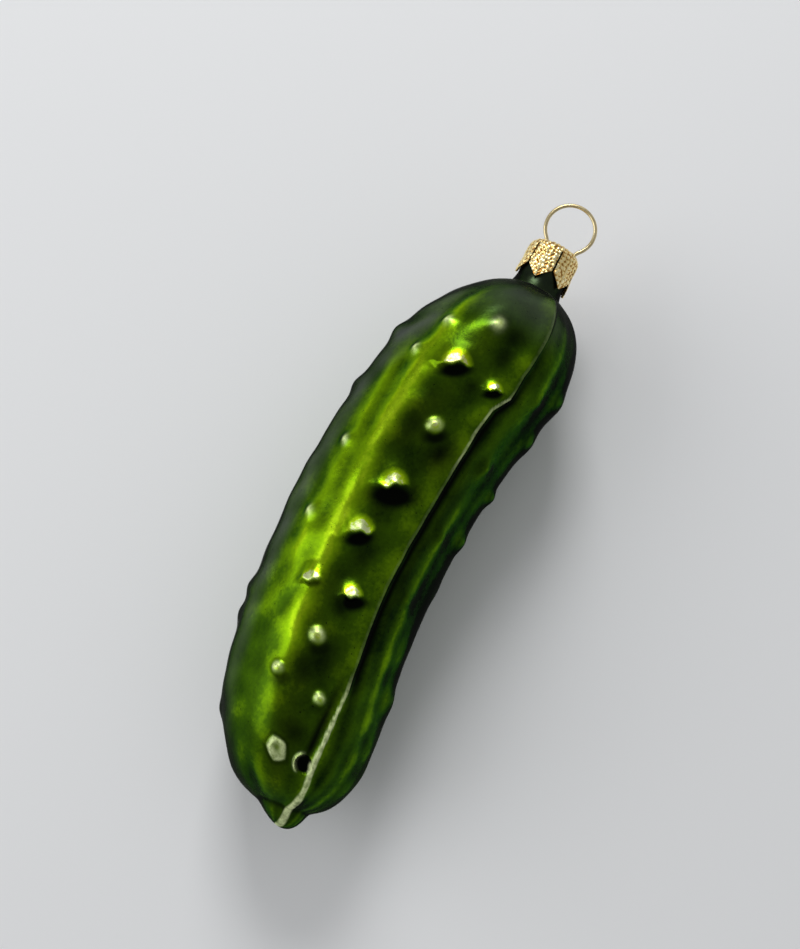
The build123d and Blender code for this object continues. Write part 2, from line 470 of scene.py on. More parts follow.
@dataclass(frozen=True)
class Silvering:
    """The silver deposit inside the glass, slightly streaked and dull."""

    bright: tuple = (0.72, 0.72, 0.69)
    dull: tuple = (0.42, 0.42, 0.39)

    def make(self) -> bpy.types.Material:
        """Makes the material.

        Returns:
            The material of the inner wall.
        """
        sheet = NodeSheet("silvering")
        streaks = sheet.noise(260.0, 4.0)
        colour = sheet.ramp(streaks, [(0.35, self.dull), (0.62, self.bright)])
        rough = sheet.span(streaks, *sheet.usual_noise, 0.45, 0.28)
        sheet.set(base_color=colour, roughness=rough, metallic=1.0)
        return sheet.material


@dataclass(frozen=True)
class StampedGold:
    """Gold-coloured embossed sheet: bright on the raised pattern, brown in its hollows.

    The tarnish and the burnish are noises: cycles per metre, detail, and the range that they cover.
    """

    hollow: tuple = (0.4, 0.19, 0.04)
    flat: tuple = (1.0, 0.77, 0.3)
    raised: tuple = (1.0, 0.9, 0.54)
    tarnish: tuple = (700.0, 4.0, -0.15, 0.15)
    burnish: tuple = (1500.0, 3.0, 0.2, 0.4)

    def make(self) -> bpy.types.Material:
        """Makes the material.

        Returns:
            A material that reads the measure emboss.
        """
        sheet = NodeSheet("stamped_gold")
        height = sheet.combine("ADD", sheet.measure("emboss"), sheet.vary(*self.tarnish))
        colour = sheet.ramp(height, [(0.08, self.hollow), (0.38, self.flat), (0.85, self.raised)])
        sheet.bump(sheet.noise(4200.0, 3.0), 0.25, 0.00008)
        sheet.set(base_color=colour, roughness=sheet.vary(*self.burnish), metallic=1.0)
        return sheet.material


@dataclass(frozen=True)
class DrawnWire:
    """Gold-coloured drawn wire, smooth with faint dull patches."""

    bright: tuple = (0.74, 0.62, 0.36)
    dull: tuple = (0.46, 0.37, 0.18)

    def make(self) -> bpy.types.Material:
        """Makes the material.

        Returns:
            The material of the hanger.
        """
        sheet = NodeSheet("drawn_wire")
        patches = sheet.noise(420.0, 4.0)
        colour = sheet.ramp(patches, [(0.3, self.dull), (0.6, self.bright)])
        rough = sheet.span(patches, *sheet.usual_noise, 0.32, 0.2)
        sheet.bump(sheet.noise(3000.0, 2.0), 0.1, 0.00005)
        sheet.set(base_color=colour, roughness=rough, metallic=1.0)
        return sheet.material


class WartSize(Enum):
    """How large a wart is: the radius of its foot, in millimetres."""

    SMALL = 1.9
    MIDDLE = 2.5
    LARGE = 3.3


class WartForm(Enum):
    """How a wart is shaped."""

    # The dark hollows and the black pit are painted shade; the thin lacquer on tips and upper slopes is
    # painted highlight, and the rubbed edges are partly wear and partly painted highlight.
    LIPPED = "gentle slope up to a lip, with a dark hollow under it"
    BRIGHT = "round bump with thin lacquer on its tip"
    ROUND = "round bump"
    LOW = "low soft swelling"
    DIMPLED = "small bead with a pit in its tip and a dark hollow under it"
    FACETED = "flat top with straight sides, rubbed all over"
    HOODED = "black pit with a rubbed crescent along one side"


SMALL, MIDDLE, LARGE = WartSize
LIPPED, BRIGHT, ROUND, LOW, DIMPLED, FACETED, HOODED = WartForm


@dataclass(frozen=True)
class Wart:
    """One wart: share of the fruit's length, angle, size, form, how far rubbed pale as wear and painted
    highlight, and the size of the painted shade under it.
    """

    share: float
    angle: float
    size: WartSize
    form: WartForm = ROUND
    rubbed: float = 0.0
    hollow: float = 1.0


@dataclass(frozen=True)
class Pool:
    """A patch of painted shade: its middle, its reach along and around in millimetres, and its strength."""

    share: float
    angle: float
    along: float
    around: float
    strength: float


@dataclass(frozen=True)
class Crest:
    """A raised rib: height, how pale its lacquer is, as thin lacquer and painted highlight, half width in
    degrees, and angles by share of length.
    """

    height: float
    light: float
    width: float
    shares: tuple[float, ...]
    angles: tuple[float, ...]
    fade: float = 0.06

    def along(self, share: Grid) -> Grid:
        """Angle of the crest at a share of the fruit's length."""
        return np.interp(share, self.shares, self.angles)

    def strength(self, share: Grid) -> Grid:
        """How far the crest has risen at a share of the fruit's length, from 0 to 1."""
        rise = smooth_step(self.shares[0] - self.fade, self.shares[0] + self.fade, share)
        return rise * smooth_step(self.shares[-1] + self.fade, self.shares[-1] - self.fade, share)

    def ridge(self, share: Grid, angle: Grid) -> Grid:
        """Height of the crest at a share of the fruit's length and an angle, from 0 to 1."""
        return bell(wrap_degrees(angle - self.along(share)), self.width) * self.strength(share)


# The fifth value is how far a wart is rubbed pale, partly wear and partly painted highlight; the sixth scales
# the painted shade under it.
UPPER_WARTS = [
    Wart(0.88, 2, MIDDLE, BRIGHT, 0.8),
    Wart(0.85, 32, SMALL, BRIGHT, 1.0),
    Wart(0.825, -82, LARGE),
    Wart(0.815, 75, MIDDLE),
    Wart(0.80, -58, SMALL, LOW),
    Wart(0.785, 38, SMALL, BRIGHT, 1.0),
    Wart(0.785, 7, LARGE, LIPPED, 0.1, 0.8),
    Wart(0.775, -23, SMALL, LIPPED, 0.0, 0.9),
    Wart(0.74, -82, LARGE),
    Wart(0.70, 80, MIDDLE),
    Wart(0.675, -6, MIDDLE, DIMPLED, 0.7),
    Wart(0.66, -56, SMALL, LOW),
    Wart(0.63, -84, SMALL),
    Wart(0.595, 44, SMALL, BRIGHT, 1.0),
    Wart(0.555, -4, LARGE, LIPPED, 0.15, 1.3),
    Wart(0.535, -82, MIDDLE),
    Wart(0.52, -52, SMALL, LOW),
    Wart(0.46, 41, SMALL, BRIGHT, 1.0),
    Wart(0.46, 1, LARGE, LIPPED, 0.15, 0.8),
    Wart(0.40, -50, SMALL, LOW),
    Wart(0.36, -12, MIDDLE, LIPPED, 0.3, 1.0),
    Wart(0.355, 16, MIDDLE, LIPPED, 0.5, 0.5),
    Wart(0.31, 80, MIDDLE),
    Wart(0.275, 0, MIDDLE, DIMPLED, 1.0, 0.9),
    Wart(0.265, 82, MIDDLE),
    Wart(0.24, -82, LARGE),
    Wart(0.20, 18, SMALL, DIMPLED, 1.0, 0.8),
    Wart(0.185, -15, SMALL, DIMPLED, 1.0, 0.5),
    Wart(0.105, 84, SMALL, LOW),
    Wart(0.083, 6, MIDDLE, FACETED, 1.0),
    Wart(0.08, -18, SMALL, HOODED, 1.0),
]

# Patches of painted shade on the upper side.
POOLS = [
    Pool(0.66, 9, 8.0, 2.6, 0.5),
    Pool(0.636, -19, 4.2, 2.9, 0.95),
    Pool(0.872, -12, 3.0, 2.2, 0.8),
    Pool(0.835, -15, 2.6, 2.0, 0.7),
    Pool(0.763, -10, 1.6, 1.4, 0.6),
    Pool(0.555, -17, 2.4, 1.6, 0.8),
    Pool(0.425, -7, 3.0, 2.4, 0.6),
    Pool(0.34, -7, 2.2, 1.5, 0.8),
    Pool(0.25, -8, 4.6, 3.4, 0.75),
    Pool(0.215, 2, 4.0, 3.0, 0.65),
    Pool(0.155, -22, 4.0, 1.3, 0.85),
    Pool(0.12, -5, 2.2, 2.4, 0.7),
    Pool(0.43, -40, 12.0, 1.6, 0.6),
    Pool(0.58, -46, 9.0, 1.8, 0.5),
]


def under_warts() -> list[Wart]:
    """The staggered rows of warts on the underside.

    Returns:
        The warts, row by row.
    """
    rows, places = 5, 5
    first_share, share_step, stagger = 0.15, 0.16, 0.055
    first_angle, angle_step = 115.0, 33.0
    warts = []
    for row in range(rows):
        for place in range(places):
            share = first_share + share_step * place + stagger * (row % 3)
            size = MIDDLE if (place + row) % 2 else LARGE
            warts.append(Wart(share, first_angle + angle_step * row, size))
    return warts


@dataclass
class GlassPickle:
    """The blown glass: ribbed and warted fruit, button end, neck and silvered inside."""

    fruit_length: float = 103.2
    belly_radius: float = 14.4
    shoulder_radius: float = 15.8
    bottom_dome: float = 22.2
    bottom_fullness: float = 2.8
    top_dome: float = 21.7
    top_fullness: float = 2.1
    bow: float = 6.7
    bow_curl: float = 1.64
    tip_drop: float = 0.9
    wall: float = 1.0
    rib_count: int = 7
    rib_height: float = 0.3
    rib_angle: float = 18.0
    button_root: float = 3.8
    button_side: float = 1.5
    button_length: float = 6.95
    button_fullness: float = 5.15
    button_blend: float = 0.3
    button_lean: float = 9.5
    corner_height: float = 0.9
    corner_station: float = 2.4
    corner_reach: float = 3.2
    corner_angle: float = 92.0
    corner_spread: float = 40.0
    neck_radius: float = 4.35
    neck_wall: float = 0.7
    neck_rise: float = 7.15
    neck_flare: float = 0.5
    neck_blend: float = 2.0
    waist_length: float = 2.4
    rim_round: float = 0.3
    wart_height: float = 1.1
    wart_fall: tuple[float, float] = (0.89, 0.45)
    seam_angle: float = -31.0
    seam_height: float = 0.45
    back_seam_height: float = 0.3
    broad_lumps: tuple[float, int] = (13.0, 5)
    broad_height: float = 0.12
    broad_calm: tuple[float, float] = (0.2, 0.45)
    small_lumps: tuple[float, int] = (5.5, 11)
    small_height: float = 0.05
    # Lacquer tone by angle around the fruit: painted light and shade in bands.
    tone_angles: tuple = (
        -180, -110, -88, -66, -54, -44, -36, -30, -24, -12, 0, 10, 20, 32, 50, 62, 90, 110, 180,
    )
    tones: tuple = (.3, .3, .1, .14, .34, .2, .16, .48, .46, .26, .3, .39, .5, .46, .44, .34, .26, .3, .3)
    foot_shade: float = 0.12
    foot_light: float = 0.2
    dome_shade: float = 0.14
    crest_tone: float = 0.85
    tone_swing: float = 0.08
    patch_swing: float = 0.06
    olive_angle: float = 4.0
    olive_width: float = 13.0
    dull_shares: tuple[float, float] = (0.34, 0.1)
    # Where the painted sheen starts on the flank towards +Y, how its start moves towards the top near the
    # dome, and its strongest share.
    frost_angle: float = 46.0
    frost_spread: float = 14.0
    frost_most: float = 0.8
    columns: int = 420
    ring_gap: float = 0.26
    fine_gap: float = 0.13
    fine_run: float = 7.0
    inner_gap: float = 1.6
    inner_fine_gap: float = 0.8
    inner_fine_run: float = 4.0
    sharp_angle: float = 50.0
    crests: tuple[Crest, ...] = (
        Crest(
            0.42, 1.0, 7.5,
            (0.22, 0.30, 0.41, 0.51, 0.62, 0.68, 0.76, 0.85, 0.93),
            (14, 17, 15.5, 17.5, 20.5, 23.5, 28, 32, 36),
        ),
        Crest(0.26, 0.7, 7.0, (0.38, 0.44, 0.58, 0.62, 0.68, 0.78), (36, 39, 38, 39.5, 45, 50)),
        Crest(0.22, 0.15, 8.0, (0.10, 0.90), (-58, -52)),
        Crest(0.20, 0.3, 8.0, (0.15, 0.85), (66, 74)),
        Crest(0.30, 0.6, 9.0, (0.15, 0.90), (112, 112)),
        Crest(0.30, 0.6, 9.0, (0.20, 0.90), (-105, -105)),
        Crest(0.30, 0.6, 9.0, (0.15, 0.92), (178, 178)),
    )

    @property
    def rim(self) -> float:
        """Station of the rim."""
        return self.fruit_length + self.neck_rise

    def radius(self, station: Grid, inset: float = 0.0) -> Grid:
        """Mean radius of the fruit, or of its cavity.

        Args:
            station: Stations to measure at.
            inset: Depth of the cavity's wall below the outer surface.

        Returns:
            The radius at each station.
        """
        share = station / self.fruit_length
        radius = self.belly_radius + (self.shoulder_radius - self.belly_radius) * share - inset
        into_bottom = np.clip((self.bottom_dome - station) / (self.bottom_dome - inset), 0.0, 1.0)
        into_top = np.clip((station - self.fruit_length + self.top_dome) / (self.top_dome - inset), 0.0, 1.0)
        return radius * np.sqrt(1.0 - into_bottom**self.bottom_fullness - into_top**self.top_fullness)

    def spine(self, station: Grid) -> Grid:
        """Sideways place of the fruit's middle.

        Args:
            station: Stations to measure at.

        Returns:
            The distance from the neck's axis towards +Y.
        """
        from_middle = 2.0 * station / self.fruit_length - 1.0
        upper = self.bow * np.clip(1.0 - from_middle**2, 0.0, 1.0) ** self.bow_curl
        lower = self.bow - (self.bow + self.tip_drop) * from_middle**2
        return np.where(from_middle > 0, upper, lower)

    def neck_foot(self, inset: float, tube: float) -> float:
        """Station where the top dome has narrowed to a tube of the given radius."""
        stations = np.linspace(self.fruit_length - self.top_dome, self.fruit_length - inset, 4000)
        return float(stations[np.argmax(self.radius(stations, inset) < tube)])

    def ring_stations(self, inset: float, last: float, gap: float, fine: float, fine_run: float) -> Grid:
        """Stations of rings spaced along the meridian.

        Args:
            inset: Depth below the outer surface.
            last: Station of the last ring.
            gap: Spacing along the meridian.
            fine: Closer spacing near the bottom end.
            fine_run: Length of meridian that takes the closer spacing.

        Returns:
            The stations, from near the bottom end upwards.
        """
        table = inset + (last - inset) * (1.0 - np.cos(np.linspace(0.0, math.pi, 6000))) / 2.0
        rise = np.hypot(np.diff(table), np.diff(self.radius(table, inset)))
        run = np.concatenate([[0.0], np.cumsum(rise)])
        near = np.arange(fine, fine_run, fine)
        far = np.linspace(fine_run, run[-1], int((run[-1] - fine_run) / gap))
        return np.interp(np.concatenate([near, far]), run, table)

    def seam_line(self, station: Grid) -> Grid:
        """Course of the mould seam on the upper side, which wanders a little.

        Args:
            station: Stations to measure at.

        Returns:
            The angle at each station, in degrees.
        """
        shares = [0.0, 0.08, 0.15, 0.22, 0.30, 0.40, 0.52, 0.60, 0.70, 0.745, 0.775, 0.82, 1.0]
        wander = [-1.0, 6.0, 3.5, 0.0, 0.0, 1.0, -1.5, -1.5, 1.0, 1.5, -3.5, -1.5, -2.0]
        return self.seam_angle + np.interp(station / self.fruit_length, shares, wander)

    def seam_profile(self, share: Grid, distance: Grid) -> tuple[Grid, Grid, Grid]:
        """The mould seam: a lip with a groove beside it, and a thin pale ridge near the bottom end.

        Args:
            share: Share of the fruit's length.
            distance: Distance from the seam, in millimetres towards +Y.

        Returns:
            The height in millimetres, the painted shade along its grooves and how far it is rubbed.
        """
        low = smooth_step(0.27, 0.17, share)
        high = smooth_step(0.60, 0.66, share) * smooth_step(0.80, 0.77, share)
        along = share * self.fruit_length
        waver = 1.0 + 0.14 * np.sin(0.9 * along) + 0.07 * np.sin(2.3 * along + 1.0)
        width = waver * (0.36 + 0.34 * smooth_step(0.2, 0.03, share))
        lip = np.where(distance > 0, bell(distance, 1.7), bell(distance, 0.4)) * (1 - low)
        ridge = bell(distance / width, 1.0) * low
        right = bell(distance + 1.35, 0.9) * (1 - low) * smooth_step(0.9, 0.76, share)
        left = bell(distance - 1.6, 0.9) * low * smooth_step(0.06, 0.11, share)
        height = self.seam_height * (lip + ridge) - 0.45 * right - 0.3 * left
        # The darkness beside the seam is painted shade along its grooves.
        dark = np.maximum(right, 0.95 * left)
        edge = smooth_step(0.35, 0.8, bell(distance / width, 1.0))
        rubbed = edge * np.maximum(np.maximum(low, 0.6 * high), 0.1)
        return height, dark, rubbed

    def lumps(self, station: Grid, angle: Grid, length: float, seed: int) -> Grid:
        """A smooth random field that closes around the fruit.

        Args:
            station: Stations of the points.
            angle: Angles of the points, in degrees.
            length: Typical wave length in millimetres.
            seed: Seed of the random waves.

        Returns:
            Values that lie mostly between -1.5 and 1.5.
        """
        rng = np.random.default_rng(seed)
        waves = 14
        total = np.zeros_like(station)
        for _ in range(waves):
            direction = rng.uniform(0.0, 2.0 * math.pi)
            turns = round(2.0 * math.pi * self.belly_radius / length * math.sin(direction))
            pace = 2.0 * math.pi / length * math.cos(direction)
            phase = rng.uniform(0.0, 2.0 * math.pi)
            total += np.cos(pace * station + turns * np.radians(angle) + phase)
        return total / math.sqrt(waves)

    def relief(self, station: Grid, angle: Grid) -> dict[str, Grid]:
        """Heights of everything that stands out of the ribbed fruit, and the lacquer measures.

        Args:
            station: Stations of the points.
            angle: Angles of the points, in degrees.

        Returns:
            The height in millimetres and six lacquer measures: tone with painted light, olive, painted sheen,
            painted shade, wear with painted highlight, and dull.
        """
        share = station / self.fruit_length
        radius = self.radius(station)
        fade = radius / self.belly_radius
        arc = np.radians(1.0) * np.maximum(radius, 1.0)

        # Crests raise the surface and paint paler lacquer along them, as thin lacquer and painted highlight.
        height = np.zeros_like(station)
        crest_light = np.zeros_like(station)
        core = np.zeros_like(station)
        for crest in self.crests:
            ridge = crest.ridge(share, angle)
            height += crest.height * fade * ridge
            crest_light = np.maximum(crest_light, ridge * crest.light)
            core = np.maximum(core, ridge**5 * crest.light)

        calm = 0.45 + 0.55 * smooth_step(*self.broad_calm, share)
        broad = calm * self.lumps(station, angle, *self.broad_lumps)
        small = self.lumps(station, angle, *self.small_lumps)
        height += fade * (self.broad_height * broad + self.small_height * small)
        corner = self.corner_height * bell(station - self.corner_station, self.corner_reach)
        height += corner * bell(wrap_degrees(angle - self.corner_angle), self.corner_spread)

        seam_distance = wrap_degrees(angle - self.seam_line(station)) * arc
        back_distance = wrap_degrees(angle - self.seam_angle - 180.0) * arc
        seam, pool, wear = self.seam_profile(share, seam_distance)
        height += seam + self.back_seam_height * bell(back_distance, 0.5)

        # Painted shade in the listed patches.
        for patch in POOLS:
            along = (station - patch.share * self.fruit_length) / patch.along
            around = wrap_degrees(angle - patch.angle) * arc / patch.around
            pool = np.maximum(pool, patch.strength * bell(np.hypot(along, around), 1.0))

        # Each wart adds painted highlight on its upper slope, painted shade under it, and pale rub that is
        # partly wear and partly painted highlight.
        wart_light = np.zeros_like(station)
        for wart in UPPER_WARTS + under_warts():
            along = station - wart.share * self.fruit_length
            around = wrap_degrees(angle - wart.angle) * arc
            bump, light, dark, rubbed = self.wart_profile(along, around, wart)
            height += self.wart_height * bump
            wart_light = np.maximum(wart_light, light)
            pool = np.maximum(pool * (1.0 - light), dark)
            wear = np.maximum(wear, wart.rubbed * rubbed)

        # Lacquer tone: painted light and shade by angle, paler on crests as painted highlight, and pale where
        # warts have painted highlight.
        turn = wrap_degrees(angle)
        tone = self.tone(share, turn)
        far = smooth_step(-32.0, -44.0, turn) * smooth_step(-100.0, -80.0, turn)
        streaks = far * np.sin(0.42 * turn + 1.3 * np.sin(0.11 * station))
        patchy = self.patch_swing - 0.02 * far
        lacquer = tone + (self.crest_tone - tone) * crest_light + patchy * small
        lacquer += self.tone_swing * (core + broad + streaks)
        lacquer = np.maximum(np.minimum(lacquer, self.crest_tone), wart_light)
        return {
            "height": height,
            "lacquer": np.clip(lacquer, 0.0, 1.0),
            "olive": bell(turn - self.olive_angle, self.olive_width),
            "frost": self.frost(share, turn, small),
            "pool": np.clip(pool, 0.0, 1.0),
            "wear": wear,
            "dull": smooth_step(*self.dull_shares, share),
        }

    def tone(self, share: Grid, turn: Grid) -> Grid:
        """The lacquer's tone between the crests, from 0 where it is darkest: painted light and shade by angle
        and in zones near the bottom end and the top dome.

        Args:
            share: Share of the fruit's length.
            turn: Angle around the fruit, from -180 to 180 degrees.

        Returns:
            The tone at each point.
        """
        foot_side = smooth_step(-50.0, -66.0, turn) * smooth_step(-120.0, -100.0, turn)
        tone = np.interp(turn, self.tone_angles, self.tones)
        tone -= self.foot_shade * smooth_step(0.34, 0.22, share) * smooth_step(18.0, 34.0, turn)
        tone += self.foot_light * smooth_step(0.38, 0.2, share) * foot_side
        return tone - self.dome_shade * smooth_step(0.78, 0.86, share) * bell(turn - 13.0, 13.0)

    def frost(self, share: Grid, turn: Grid, small: Grid) -> Grid:
        """How strongly painted sheen greys the lacquer, along the flank towards +Y and over the top dome.

        Args:
            share: Share of the fruit's length.
            turn: Angle around the fruit, from -180 to 180 degrees.
            small: The small lumps, which make the flank uneven.

        Returns:
            The painted sheen at each point.
        """
        start = self.frost_angle - self.frost_spread * smooth_step(0.7, 0.85, share)
        flank = smooth_step(start, start + 20.0, turn) * smooth_step(112.0, 84.0, turn) * (0.9 + 0.2 * small)
        flank = flank * (0.5 + 0.5 * smooth_step(0.2, 0.4, share))
        return self.frost_most * np.maximum(flank, 0.75 * smooth_step(0.865, 0.965, share))

    def wart_profile(self, along: Grid, around: Grid, wart: Wart) -> tuple[Grid, Grid, Grid, Grid]:
        """The shape of one wart and how the lacquer lies on it.

        Args:
            along: Distance from the wart along X, in millimetres.
            around: Distance from the wart around the fruit, in millimetres.
            wart: The wart.

        Returns:
            The bump, the painted highlight on its upper slope, the painted shade under it and its rubbed
            edges, partly wear and partly painted highlight, each up to 1.
        """
        foot = wart.size.value
        rise = (self.wart_fall[0] * along + self.wart_fall[1] * around) / foot
        across = (self.wart_fall[0] * around - self.wart_fall[1] * along) / foot
        reach = np.hypot(rise, across)
        none = np.zeros_like(reach)
        if wart.form is LIPPED:
            return self.lipped_wart(rise, across, wart)
        if wart.form is BRIGHT:
            tip = bell(np.hypot(0.75 * rise, across), 0.36)
            return 0.55 * bell(reach, 0.7), tip, none, tip
        if wart.form is DIMPLED:
            bead = bell(reach, 0.52)
            below = np.hypot((rise + 0.8) / 0.75, (across + 0.15) / 1.15)
            hollow = 0.95 * wart.hollow * smooth_step(1.4, 0.3, below) * smooth_step(0.5, 0.1, bead)
            rubbed = bell(reach - 0.34, 0.2) * smooth_step(-0.6, 0.3, rise)
            return bead - 0.3 * bell(reach, 0.2), bell(np.hypot(rise - 0.1, across), 0.75), hollow, rubbed
        if wart.form is FACETED:
            turn = np.arctan2(across, rise) % (math.tau / 5) - math.pi / 5
            sides = 1.2 * reach * (0.5 + 0.5 * np.cos(turn) / math.cos(math.pi / 5))
            pit = bell(np.hypot((rise - 0.12) / 1.3, across + 0.06), 0.3)
            bump = 0.6 * smooth_step(1.05, 0.5, sides) - 0.2 * pit
            rubbed = smooth_step(1.0, 0.78, sides) * (1.0 - 0.9 * pit)
            dark = smooth_step(0.95, 1.08, sides) * smooth_step(1.5, 1.1, sides)
            return bump, 0.5 * smooth_step(1.0, 0.8, sides), 0.5 * dark, rubbed
        if wart.form is HOODED:
            side = (0.55 * rise + 0.83 * across) / np.maximum(reach, 0.01)
            hood = bell(reach - 0.88, 0.13) * smooth_step(0.1, 0.75, side)
            dark = smooth_step(0.82, 0.72, reach)
            return 0.45 * hood - 0.4 * dark, hood, dark, hood
        if wart.form is LOW:
            return 0.45 * bell(reach, 0.85), 0.45 * bell(reach, 0.6), none, none
        return 0.7 * bell(reach, 0.82), 0.5 * bell(np.hypot(rise - 0.2, across), 0.5), none, none

    @staticmethod
    def lipped_wart(rise: Grid, across: Grid, wart: Wart) -> tuple[Grid, Grid, Grid, Grid]:
        """A wart whose slope climbs to a ragged lip, with painted shade under it.

        Args:
            rise: Distance from the lip away from its hollow, in units of the wart's foot.
            across: Distance along the lip, in the same units.
            wart: The wart.

        Returns:
            The same four as wart_profile.
        """
        ragged = 0.09 * np.cos(4.6 * across + 25.0 * wart.share)
        ragged += 0.05 * np.sin(9.1 * across + 60.0 * wart.share)
        below = rise / wart.hollow + 0.45
        beside = (across + 0.08 * np.sin(5.0 * below + 40.0 * wart.share)) / wart.hollow
        rise = rise - ragged * bell(rise, 0.5) - 0.12 * across * math.sin(90.0 * wart.share)
        above = np.maximum(rise, 0.0)
        slope = np.where(rise < 0, smooth_step(-0.45, 0.0, rise), np.clip(1.0 - rise / 1.4, 0.0, 1.0) ** 1.4)
        narrowing = across / (1.1 - 0.4 * np.clip(above, 0.0, 1.4))
        spread = 0.5 * (bell(narrowing, 0.8) + np.exp(-(narrowing**4)))
        dip = np.hypot(below / 0.58, beside / 1.12)
        hollow = smooth_step(-0.02, -0.14, rise) * smooth_step(1.3, 0.5, dip)
        light = smooth_step(1.05, 0.4, np.hypot(across / 1.12, above / 1.3)) * smooth_step(-0.1, 0.02, rise)
        rubbed = smooth_step(0.9, 0.2, np.hypot(across / 0.8, above / 0.6)) * smooth_step(-0.06, 0.02, rise)
        return slope * spread, light, min(1.0, 1.4 * wart.hollow) * hollow * (1.0 - light), rubbed

    def button(self, points: Grid) -> tuple[Grid, Grid]:
        """How far each point near the bottom end moves out to form the button.

        Args:
            points: Points of the fruit, in stations about the neck's axis.

        Returns:
            The shift of each point, and the painted shade in the crease around the button's foot.
        """
        end = np.array([0.0, float(self.spine(np.array(0.0))), 0.0])
        root = np.array([self.button_root, float(self.spine(np.array(self.button_root))), 0.0])
        course = math.atan2(end[1] - root[1], end[0] - root[0]) + math.radians(self.button_lean)
        outwards = np.array([math.cos(course), math.sin(course), 0.0])
        offset = points - root + np.array([0.0, self.button_side, 0.0])
        along = offset @ outwards
        reach = np.linalg.norm(offset - along[..., None] * outwards, axis=-1)
        short = self.button_length - reach**2 / self.button_fullness - along
        shift = self.button_blend * np.logaddexp(0.0, np.clip(short / self.button_blend, -30.0, 30.0))
        near = smooth_step(0.14, 0.1, points[..., 0] / self.fruit_length)
        return (shift * near)[..., None] * outwards, 0.75 * near * bell(short, 0.6)

    def build(self, datum: Datum) -> bpy.types.Object:
        """Builds and dresses the glass.

        Args:
            datum: Where the neck's axis and station zero lie.

        Returns:
            The glass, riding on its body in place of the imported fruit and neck.
        """
        piece = MeshPiece()
        angles = np.arange(self.columns) * 360.0 / self.columns
        foot = self.neck_foot(0.0, self.neck_radius + self.neck_flare)
        points, measures = self.fruit_points(foot, angles)
        outer = piece.add_points(datum.place(points), **measures)
        piece.add_grid(outer, closed=True)
        tip = datum.place(points[0].mean(axis=0))
        piece.add_fan(tip, outer[0], flip=True, **even_lacquer(lacquer=0.3, wear=0.3, dull=1.0))

        neck_points = datum.place(self.tube_points(self.neck_profile(foot), angles))
        # The neck takes an even painted shade and painted sheen.
        neck = piece.add_points(neck_points, **even_lacquer(lacquer=0.1, frost=0.3, pool=0.55))
        piece.add_grid(np.concatenate([outer[-1:], neck]), closed=True)
        inner_points = datum.place(self.tube_points(self.inner_profile(), angles))
        inner = piece.add_points(inner_points, **even_lacquer(lacquer=0.5, frost=0.3))
        piece.add_grid(np.concatenate([neck[-1:], inner]), closed=True, finish=1)
        end = np.array(self.wall + 0.05)
        floor = datum.place(np.array([end, self.spine(end), 0.0]))
        piece.add_fan(floor, inner[-1], finish=1, **even_lacquer(lacquer=0.5))

        glass = piece.make("pickle_glass", [GreenLacquer().make(), Silvering().make()], self.sharp_angle)
        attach(glass, "glass")
        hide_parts("glass_body", "glass_neck")
        return glass

    def fruit_points(self, foot: float, angles: Grid) -> tuple[Grid, dict[str, Grid]]:
        """Points of the fruit with its ribs, relief and button.

        Args:
            foot: Station where the neck starts.
            angles: Angle of each column, in degrees.

        Returns:
            The points, one row for each ring, and their lacquer measures.
        """
        stations = self.ring_stations(0.0, foot, self.ring_gap, self.fine_gap, self.fine_run)
        station, angle = np.meshgrid(stations, angles, indexing="ij")
        plain = self.radius(station)
        ribs = self.rib_height * plain / self.belly_radius
        ribbed = plain + ribs * np.cos(np.radians(self.rib_count * (angle - self.rib_angle)))
        neck_fade = smooth_step(foot - self.neck_blend, foot, station)
        points = self.around_spine(station, ribbed * (1 - neck_fade) + plain * neck_fade, angle)
        across = np.roll(points, -1, axis=1) - np.roll(points, 1, axis=1)
        facing = np.cross(np.gradient(points, axis=0), across)
        facing /= np.linalg.norm(facing, axis=-1, keepdims=True)
        relief = self.relief(station, angle)
        points = points + facing * (relief["height"] * (1 - neck_fade))[..., None]
        shift, crease = self.button(points)
        # Painted shade in the crease around the button's foot.
        relief["pool"] = np.maximum(relief["pool"], crease * (1 - relief["wear"]))
        return points + shift, {name: relief[name] for name in LACQUER_MEASURES}

    def around_spine(self, station: Grid, radius: Grid, angle: Grid) -> Grid:
        """Points at a radius and an angle in degrees around the fruit's middle."""
        side, up = radius * np.sin(np.radians(angle)), radius * np.cos(np.radians(angle))
        return np.stack([station, self.spine(station) + side, up], axis=-1)

    def tube_points(self, profile: Grid, angles: Grid) -> Grid:
        """Rings of points along a profile of stations and radii, one row for each ring."""
        station, angle = np.meshgrid(profile[:, 0], angles, indexing="ij")
        return self.around_spine(station, profile[:, 1:], angle)

    def neck_profile(self, foot: float) -> Grid:
        """The neck's rings, from its foot over the rounded rim to the bore.

        Args:
            foot: Station where the neck starts.

        Returns:
            Station and radius of each ring.
        """
        top = self.rim - self.rim_round
        waist = [(s, self.neck_radius + self.neck_flare * (1.0 - (s - foot) / self.waist_length) ** 2)
                 for s in np.linspace(foot + 0.1, foot + self.waist_length, 10)]
        straight = [(s, self.neck_radius) for s in np.linspace(foot + 2.8, top, 12)]
        turns = np.radians(np.linspace(0.0, 90.0, 6))[1:]
        outer = [(top + self.rim_round * math.sin(t), self.neck_radius - self.rim_round * (1 - math.cos(t)))
                 for t in turns]
        bore = self.neck_radius - self.neck_wall
        inner = [(top + self.rim_round * math.cos(t), bore + self.rim_round * (1 - math.sin(t)))
                 for t in np.concatenate([[0.0], turns])]
        return np.array(waist + straight + outer + inner)

